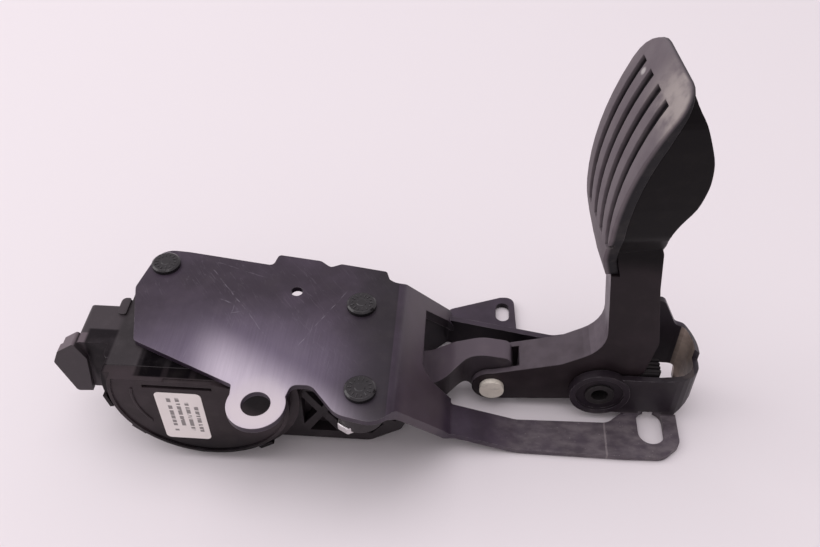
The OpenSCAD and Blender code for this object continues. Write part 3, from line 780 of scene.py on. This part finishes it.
@dataclass(frozen=True)
class PadRubber(Finish):
    """Moulded rubber: grey and rubbed on the ribs, with painted shade, near black, down in the grooves."""

    axis: Spot = (-30.0, 20.8)
    twist: float = 8.0
    curve: float = 110.0
    foremost: float = -36.4
    middle: float = 115.0
    groove_depth: Step = (0.5, 2.2)
    rib_depth: Step = (1.2, 0.2)
    worn_y: Step = (26.0, 8.0)
    worn_z: Step = (150.0, 161.0)
    nick_at: Spot = (30.0, 158.5)
    nick_rim: Step = (1.6, 0.6)
    groove_shade: Colour = (0.006, 0.005, 0.007)
    rubbed: Colour = (0.34, 0.3, 0.285)
    nick: Colour = (0.5, 0.48, 0.47)

    def detail(self, shader: Shader, coat: Coat) -> None:
        """Darkens the grooves by their depth below the face as painted shade, wears the upper corner and adds
        a nick.

        Args:
            shader: The graph.
            coat: The coat that is changed.
        """
        sunk = self.depth_below_face(shader)
        # painted shade down in the grooves, by their depth
        coat.paint(sunk.rises(*self.groove_depth), self.groove_shade)
        patches = shader.noise(9.0, shift=50.0).rises(0.3, 0.58)
        corner = shader.z.rises(*self.worn_z) * shader.y.rises(*self.worn_y)
        coat.paint(patches * corner * sunk.rises(*self.rib_depth) * 0.85, self.rubbed)
        away = (shader.y - self.nick_at[0]).hypotenuse(shader.z - self.nick_at[1])
        coat.paint(away.rises(*self.nick_rim) * 0.7, self.nick)

    def depth_below_face(self, shader: Shader) -> Value:
        """Works out how deep a point lies.

        Args:
            shader: The graph.

        Returns:
            Millimetres behind the pad's curved and twisted face.
        """
        cosine, sine = math.cos(math.radians(self.twist)), math.sin(math.radians(self.twist))
        across = (shader.x - self.axis[0]) * cosine + (shader.y - self.axis[1]) * sine + self.axis[0]
        lift = shader.z - self.middle
        face = (self.foremost + self.curve) - (self.curve**2 - lift * lift).root()
        return across - face


@dataclass(frozen=True)
class LabelFilm(Finish):
    """White film with plain grey bars in upright columns."""

    corner: Spot = LABEL_LOW
    pitch: float = 3.4
    columns: int = 4
    ink: Colour = (0.12, 0.11, 0.11)

    def detail(self, shader: Shader, coat: Coat) -> None:
        """Prints upright bars of broken length; they spell nothing.

        Args:
            shader: The graph.
            coat: The coat that is changed.
        """
        left, low = self.corner
        across = (shader.x - left) / self.pitch
        number = across.whole()
        bar = abs(across.fraction() - 0.5).rises(0.28, 0.2)
        top = (number * 7.3).sine() * 3.0 + (low + 24.0)
        bottom = (number * 4.1).sine() * 2.0 + (low + 6.0)
        inside = shader.z.rises(low + 4.0, low + 4.4) * (top - shader.z).rises(0.0, 0.3)
        inside = inside * (shader.z - bottom).rises(0.0, 0.3)
        inside = inside * number.band(0.5, 0.9, self.columns + 0.1, self.columns + 0.5)
        dashes = shader.noise((6.0, 6.0, 0.9), shift=70.0, detail=0.0).rises(0.36, 0.42)
        coat.paint(bar * inside * dashes * 0.8, self.ink)


@dataclass(frozen=True)
class DrawnSteel(Finish):
    """Turned, plated or drawn steel with fine rings or lines."""

    line: Point = (0.12, 6.0, 0.12)

    def detail(self, shader: Shader, coat: Coat) -> None:
        """Adds fine lines and a few stains.

        Args:
            shader: The graph.
            coat: The coat that is changed.
        """
        lines = shader.noise(self.line, shift=17.0)
        stain = shader.noise(2.5, shift=6.0).rises(0.5, 0.75)
        coat.height = lines
        coat.rough = coat.rough + (lines - 0.5) * 0.2 + stain * 0.15
        red, green, blue = (channel * 0.45 for channel in self.colour)
        coat.paint(stain * 0.4, (red, green, blue))


def moulded_finishes() -> list[Finish]:
    """Lists the bracket's paint and the plastics and rubbers.

    Returns:
        The finishes, each named after its slot.
    """
    return [
        BracketPaint("bracket_paint", (0.026, 0.017, 0.028), (0.042, 0.029, 0.046), 0.4, 0.05, specular=0.27,
                     grain=0.5, depth=0.006, edge=0.35, worn_edge=(0.3, 0.27, 0.29), edge_wear=0.45,
                     dust=0.05),
        HousingPlastic("housing_plastic", (0.016, 0.012, 0.014), (0.026, 0.02, 0.023), 0.42,
                       worn_edge=(0.08, 0.067, 0.074), dust=0.12, dust_colour=(0.27, 0.235, 0.25)),
        HousingPlastic("lid_plastic", (0.024, 0.017, 0.019), (0.036, 0.026, 0.03), 0.32, 0.06, specular=0.12,
                       depth=0.006, worn_edge=(0.08, 0.07, 0.078), dust=0.06),
        ArmPlastic("arm_plastic", (0.015, 0.01, 0.012), (0.022, 0.015, 0.018), 0.42, 0.08, specular=0.14,
                   depth=0.01, edge=0.8, worn_edge=(0.06, 0.05, 0.056), dust=0.03),
        LeverPlastic("lever_plastic", (0.022, 0.017, 0.02), (0.032, 0.025, 0.03), 0.42,
                     edge=0.8, worn_edge=(0.08, 0.07, 0.08), dust=0.12),
        PadRubber("pad_rubber", (0.115, 0.094, 0.106), (0.14, 0.118, 0.13), 0.62, 0.1,
                  grain=0.5, depth=0.05, edge=0.5, worn_edge=(0.24, 0.21, 0.22), dust=0.15),
        Finish("stop_rubber", (0.012, 0.01, 0.011), (0.018, 0.015, 0.016), 0.7,
               edge=0.3, worn_edge=(0.05, 0.045, 0.045), dust=0.15),
        Finish("seal_rubber", (0.012, 0.01, 0.011), (0.018, 0.015, 0.016), 0.6,
               worn_edge=(0.03, 0.026, 0.028)),
        LabelFilm("label_film", (0.84, 0.78, 0.76), (0.8, 0.74, 0.72), 0.45, depth=0.004, edge=0.0, dust=0.1),
    ]


def metal_finishes() -> list[Finish]:
    """Lists the steels, the contacts and what is inside the housing.

    Returns:
        The finishes, each named after its slot.
    """
    return [
        Finish("screw_steel", (0.008, 0.007, 0.008), (0.015, 0.013, 0.015), 0.14, metal=0.15, specular=0.5,
               edge=0.3, worn_edge=(0.16, 0.15, 0.16), edge_wear=0.5, dust=0.03),
        DrawnSteel("dark_steel", (0.03, 0.027, 0.028), (0.05, 0.045, 0.046), 0.4, metal=0.6,
                   edge=0.3, worn_edge=(0.12, 0.11, 0.11)),
        DrawnSteel("bright_steel", (0.62, 0.6, 0.6), (0.54, 0.52, 0.52), 0.3, metal=1.0, edge=0.25),
        DrawnSteel("spring_steel", (0.4, 0.39, 0.4), (0.33, 0.32, 0.33), 0.32, metal=1.0, edge=0.0),
        DrawnSteel("pin_steel", (0.78, 0.72, 0.64), (0.68, 0.62, 0.54), 0.4, metal=0.1,
                   worn_edge=(0.5, 0.46, 0.4)),
        DrawnSteel("contact_metal", (0.78, 0.6, 0.28), (0.7, 0.52, 0.22), 0.28, metal=1.0, edge=0.1),
        Finish("board_laminate", (0.02, 0.13, 0.05), (0.03, 0.17, 0.07), 0.4, edge=0.2),
        Finish("bush_plastic", (0.6, 0.56, 0.46), (0.66, 0.62, 0.52), 0.35, edge=0.2,
               worn_edge=(0.7, 0.66, 0.56)),
        Finish("magnet_ferrite", (0.07, 0.07, 0.075), (0.1, 0.1, 0.105), 0.5, metal=0.4, edge=0.2),
    ]


class Finishes:
    """Every finish of the pedal, built once each."""

    def __init__(self) -> None:
        """Builds the materials and keeps them by slot name."""
        self.by_name = {finish.name: finish.build() for finish in moulded_finishes() + metal_finishes()}

    def dress_nodes(self, record: dict[str, Any], nodes: dict[str, bpy.types.Object]) -> None:
        """Puts each CAD node's finish on it.

        Args:
            record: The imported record, whose subparts name the slots.
            nodes: The CAD nodes' objects by name.
        """
        for part in record["subparts"]:
            mesh = nodes[part["node"]].data
            mesh.materials.clear()
            mesh.materials.append(self.by_name[part["material_slot"]])
            log.info("dressed %s in %s", part["node"], part["material_slot"])


def piece_from(
    name: str, shape: bmesh.types.BMesh, material: bpy.types.Material, smooth: bool = True
) -> bpy.types.Object:
    """Turns a finished bmesh, in millimetres, into an object at the origin.

    Args:
        name: The piece's name.
        shape: The shape; it is freed.
        material: The piece's material.
        smooth: Whether faces are shaded smooth.

    Returns:
        The linked object.
    """
    bmesh.ops.remove_doubles(shape, verts=shape.verts, dist=0.001)
    bmesh.ops.recalc_face_normals(shape, faces=shape.faces)
    bmesh.ops.scale(shape, vec=(MM, MM, MM), verts=shape.verts)
    for face in shape.faces:
        face.smooth = smooth
    mesh = bpy.data.meshes.new(name)
    shape.to_mesh(mesh)
    shape.free()
    mesh.materials.append(material)
    made = bpy.data.objects.new(name, mesh)
    bpy.context.scene.collection.objects.link(made)
    return made


def extruded(
    shape: bmesh.types.BMesh, faces: list[bmesh.types.BMFace], run: Point
) -> list[bmesh.types.BMVert]:
    """Extrudes faces.

    Args:
        shape: The shape that the faces belong to.
        faces: The faces.
        run: How far the new faces move.

    Returns:
        The new faces' corners.
    """
    pushed = bmesh.ops.extrude_face_region(shape, geom=faces)
    moved = [v for v in pushed["geom"] if isinstance(v, bmesh.types.BMVert)]
    bmesh.ops.translate(shape, vec=run, verts=moved)
    return moved


@dataclass
class Label:
    """The film on the lid, with rounded corners."""

    low: Spot = LABEL_LOW
    high: Spot = (-181.0, 42.8)
    face_y: float = -23.0
    corner: float = 2.0
    thick: float = 0.15
    sunk: float = 0.02

    def build(self, finishes: Finishes) -> bpy.types.Object:
        """Makes the film and sets it on the lid.

        Args:
            finishes: The built finishes.

        Returns:
            The label.
        """
        shape = bmesh.new()
        corners = [self.low, (self.high[0], self.low[1]), self.high, (self.low[0], self.high[1])]
        shape.faces.new([shape.verts.new((x, self.face_y - self.thick, z)) for x, z in corners])
        bmesh.ops.bevel(shape, geom=list(shape.verts), offset=self.corner, segments=5, profile=0.5,
                        affect="VERTICES", material=-1)
        extruded(shape, list(shape.faces), (0.0, self.thick - self.sunk, 0.0))
        made = piece_from("lid_label", shape, finishes.by_name["label_film"], smooth=False)
        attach(made, Body.FRAME.value)
        return made


@dataclass
class RoundedCover:
    """The pad's soft cover with its ribs and outline rounded over, in place of the plain one."""

    radius: float = 0.75
    segments: int = 3
    sharp: float = 38.0
    flat: float = 1.0
    crisp: float = 32.0
    grip: float = 0.02

    def build(self, finishes: Finishes) -> bpy.types.Object:
        """Rounds a merged copy of the CAD cover and lets it stand for that node.

        Args:
            finishes: The built finishes.

        Returns:
            The cover.
        """
        shape = bmesh.new()
        shape.from_mesh(frame["nodes"]["pad_cover"].data)
        bmesh.ops.scale(shape, vec=(1.0 / MM,) * 3, verts=shape.verts)
        bmesh.ops.remove_doubles(shape, verts=shape.verts, dist=self.grip)
        flat, limit = math.radians(self.flat), math.radians(self.sharp)
        bmesh.ops.dissolve_limit(shape, angle_limit=flat, verts=shape.verts, edges=shape.edges)
        edges = [e for e in shape.edges if len(e.link_faces) == 2 and e.calc_face_angle() > limit]
        bmesh.ops.bevel(shape, geom=edges, offset=self.radius, offset_type="OFFSET", segments=self.segments,
                        profile=0.5, affect="EDGES", material=-1, clamp_overlap=True)
        made = piece_from("ribbed_cover", shape, finishes.by_name["pad_rubber"])
        made.data.set_sharp_from_angle(angle=math.radians(self.crisp))
        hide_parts("pad_cover")
        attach(made, Body.PEDAL.value)
        return made


@dataclass
class NutShoulder:
    """Bright six-sided shoulder of the captive nut, which shows beside the front boss."""

    centre: Spot = (-123.2, -28.4)
    top: float = 40.0
    thick: float = 3.6
    radius: float = 4.8
    edge: float = 0.5

    def build(self, finishes: Finishes) -> bpy.types.Object:
        """Makes the shoulder with softened rims, sunk in the boss.

        Args:
            finishes: The built finishes.

        Returns:
            The shoulder.
        """
        shape = bmesh.new()
        bmesh.ops.create_cone(shape, cap_ends=True, segments=6, radius1=self.radius, radius2=self.radius,
                              depth=self.thick)
        bmesh.ops.bevel(shape, geom=list(shape.edges), offset=self.edge, segments=2, profile=0.5,
                        affect="EDGES", material=-1)
        bmesh.ops.translate(shape, vec=(*self.centre, self.top - self.thick / 2), verts=shape.verts)
        made = piece_from("front_nut_shoulder", shape, finishes.by_name["bright_steel"], smooth=False)
        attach(made, Body.FRAME.value)
        return made


@dataclass
class ScrewMarks:
    """Raised ticks round a flat screw head, with a shallow dome in their middle."""

    name: str
    centre: Spot
    turn: float = 0.0
    top: float = 54.2
    radius: float = 3.9
    ticks: int = 14
    long_tick: float = 1.5
    short_tick: float = 0.8
    tick_width: float = 0.42
    tick_height: float = 0.3
    tick_lift: float = 0.05
    dome_radius: float = 2.3
    dome_sunk: float = 0.1
    dome_height: float = 0.28
    dome_taper: float = 0.8

    def build(self, finishes: Finishes) -> bpy.types.Object:
        """Makes the ring of ticks and the dome as one piece.

        Args:
            finishes: The built finishes.

        Returns:
            The marks.
        """
        shape = bmesh.new()
        for k in range(self.ticks):
            angle = self.turn + 2 * math.pi * k / self.ticks
            self.add_tick(shape, angle, self.long_tick if k % 3 else self.short_tick)
        self.add_dome(shape)
        made = piece_from(self.name, shape, finishes.by_name["screw_steel"], smooth=False)
        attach(made, Body.FRAME.value)
        return made

    def add_tick(self, shape: bmesh.types.BMesh, angle: float, length: float) -> None:
        """Adds one tick, which points away from the middle.

        Args:
            shape: The shape that it is added to.
            angle: The tick's turn about the middle, in radians.
            length: The tick's length in millimetres.
        """
        made = bmesh.ops.create_cube(shape, size=1.0)
        place = (
            Matrix.Translation((*self.centre, self.top))
            @ Matrix.Rotation(angle, 4, "Z")
            @ Matrix.Translation((self.radius, 0.0, self.tick_lift))
            @ Matrix.Diagonal((length, self.tick_width, self.tick_height, 1.0))
        )
        bmesh.ops.transform(shape, matrix=place, verts=made["verts"])

    def add_dome(self, shape: bmesh.types.BMesh) -> None:
        """Adds the dome, narrower at its top.

        Args:
            shape: The shape that it is added to.
        """
        made = bmesh.ops.create_circle(shape, cap_ends=True, radius=self.dome_radius, segments=32)
        bmesh.ops.translate(shape, vec=(*self.centre, self.top - self.dome_sunk), verts=made["verts"])
        faces = list({face for vert in made["verts"] for face in vert.link_faces})
        upper = extruded(shape, faces, (0.0, 0.0, self.dome_height))
        to_middle = Matrix.Translation((-self.centre[0], -self.centre[1], 0.0))
        bmesh.ops.scale(shape, vec=(self.dome_taper, self.dome_taper, 1.0), verts=upper, space=to_middle)


@dataclass(frozen=True)
class Lamp:
    """A square lamp: its place and size are in metres and its power in watts."""

    name: str
    place: Point
    size: float
    power: float
    colour: Colour


@dataclass
class Studio:
    """Pale floor, soft lamps, surround and camera.

    The floor's and its glow's sizes are in millimetres, the places of the lamps and the camera in metres.
    """

    floor_colour: Colour = (0.8, 0.745, 0.775)
    floor_mottle: float = 0.985
    floor_cloud: float = 300.0
    floor_roughness: float = 0.85
    floor_half: float = 6000.0
    floor_z: float = -0.6
    surround: Colour = (0.9, 0.83, 0.88)
    glow_from: float = 600.0
    glow_full: float = 2000.0
    ambient: float = 0.6
    ambient_colour: Colour = (1.0, 0.96, 0.98)
    aim: Point = (-0.1, 0.0, 0.04)
    lamps: tuple[Lamp, ...] = (
        Lamp("overhead", (-0.45, 0.05, 2.5), 2.4, 28.0, (1.0, 0.96, 1.0)),
        Lamp("left_fill", (-1.6, 0.1, 1.1), 1.2, 9.0, (1.0, 0.98, 0.98)),
    )
    eye: Point = (-0.086606, -0.221949, 0.313220)
    forward: Point = (-0.04933, 0.70538, -0.70711)
    right: Point = (0.99756, 0.06976, 0.0)
    lens: float = 38.634
    sensor: float = 36.0
    nearest: float = 0.01

    def build(self) -> None:
        """Sets the stage, the light, the world and the camera."""
        self.floor()
        self.light()
        self.world()
        self.camera()

    def floor(self) -> None:
        """A wide pale sheet under the pedal, which glows like the surround where it is far away."""
        shape = bmesh.new()
        bmesh.ops.create_grid(shape, x_segments=1, y_segments=1, size=self.floor_half)
        bmesh.ops.translate(shape, vec=(0.0, 0.0, self.floor_z), verts=shape.verts)
        shader = Shader("studio_floor")
        cloudy = tuple(channel * self.floor_mottle for channel in self.floor_colour)
        tint = shader.mix(shader.noise(self.floor_cloud), self.floor_colour, cloudy)
        shader.tree.links.new(tint, shader.surface.inputs["Base Color"])
        shader.surface.inputs["Roughness"].default_value = self.floor_roughness
        glow = shader.node("ShaderNodeEmission", {}, {"Color": (*self.surround, 1.0), "Strength": 1.0})
        share = shader.x.hypotenuse(shader.y).rises(self.glow_from, self.glow_full) * shader.backdrop_rays()
        inputs = {0: share, 1: shader.surface.outputs[0], 2: glow.outputs[0]}
        blend = shader.node("ShaderNodeMixShader", {}, inputs)
        shader.tree.links.new(blend.outputs[0], shader.tree.nodes["Material Output"].inputs["Surface"])
        piece_from("studio_floor", shape, shader.material)

    def light(self) -> None:
        """Soft square lamps that look at the pedal's middle."""
        for lamp in self.lamps:
            light = bpy.data.lights.new(lamp.name, "AREA")
            light.size = lamp.size
            light.energy = lamp.power
            light.color = lamp.colour
            holder = bpy.data.objects.new(lamp.name, light)
            holder.location = lamp.place
            look = Vector(self.aim) - Vector(lamp.place)
            holder.rotation_euler = look.to_track_quat("-Z", "Y").to_euler()
            bpy.context.scene.collection.objects.link(holder)

    def world(self) -> None:
        """A pale surround that camera, glossy and transmission rays see, and a dim one for the rest."""
        world = bpy.data.worlds.new("studio_world")
        bpy.context.scene.world = world
        world.use_nodes = True
        graph = Graph(world.node_tree)
        dim = world.node_tree.nodes["Background"]
        dim.inputs["Color"].default_value = (*self.ambient_colour, 1.0)
        dim.inputs["Strength"].default_value = self.ambient
        seen = graph.node("ShaderNodeBackground", {}, {"Color": (*self.surround, 1.0)})
        inputs = {0: graph.backdrop_rays(), 1: dim.outputs[0], 2: seen.outputs[0]}
        blend = graph.node("ShaderNodeMixShader", {}, inputs)
        graph.tree.links.new(blend.outputs[0], graph.tree.nodes["World Output"].inputs["Surface"])

    def camera(self) -> None:
        """The photograph's viewpoint, worked out from the plate's known sizes."""
        forward, right = Vector(self.forward).normalized(), Vector(self.right).normalized()
        up = right.cross(forward)
        camera = bpy.data.cameras.new("photo_camera")
        camera.lens = self.lens
        camera.sensor_width = self.sensor
        camera.clip_start = self.nearest
        holder = bpy.data.objects.new("photo_camera", camera)
        turn = Matrix((right, up, -forward)).transposed().to_4x4()
        holder.matrix_world = Matrix.Translation(self.eye) @ turn
        bpy.context.scene.collection.objects.link(holder)
        bpy.context.scene.camera = holder
        bpy.context.scene.view_settings.view_transform = "Standard"


def main() -> None:
    """Builds the pieces in order and dresses the whole pedal."""
    logging.basicConfig(level=logging.INFO, format="%(message)s")
    Studio().build()
    finishes = Finishes()
    finishes.dress_nodes(frame["record"], frame["nodes"])
    builders: list[Label | RoundedCover | NutShoulder | ScrewMarks] = [
        Label(),
        RoundedCover(),
        NutShoulder(),
        ScrewMarks("marks_rear_left", (-208.0, 36.5)),
        ScrewMarks("marks_rear_right", (-123.0, 18.7), turn=0.4),
        ScrewMarks("marks_front", (-119.0, -24.0), turn=0.9),
    ]
    for builder in builders:
        log.info("made %s", builder.build(finishes).name)


if __name__ == "__main__":
    main()
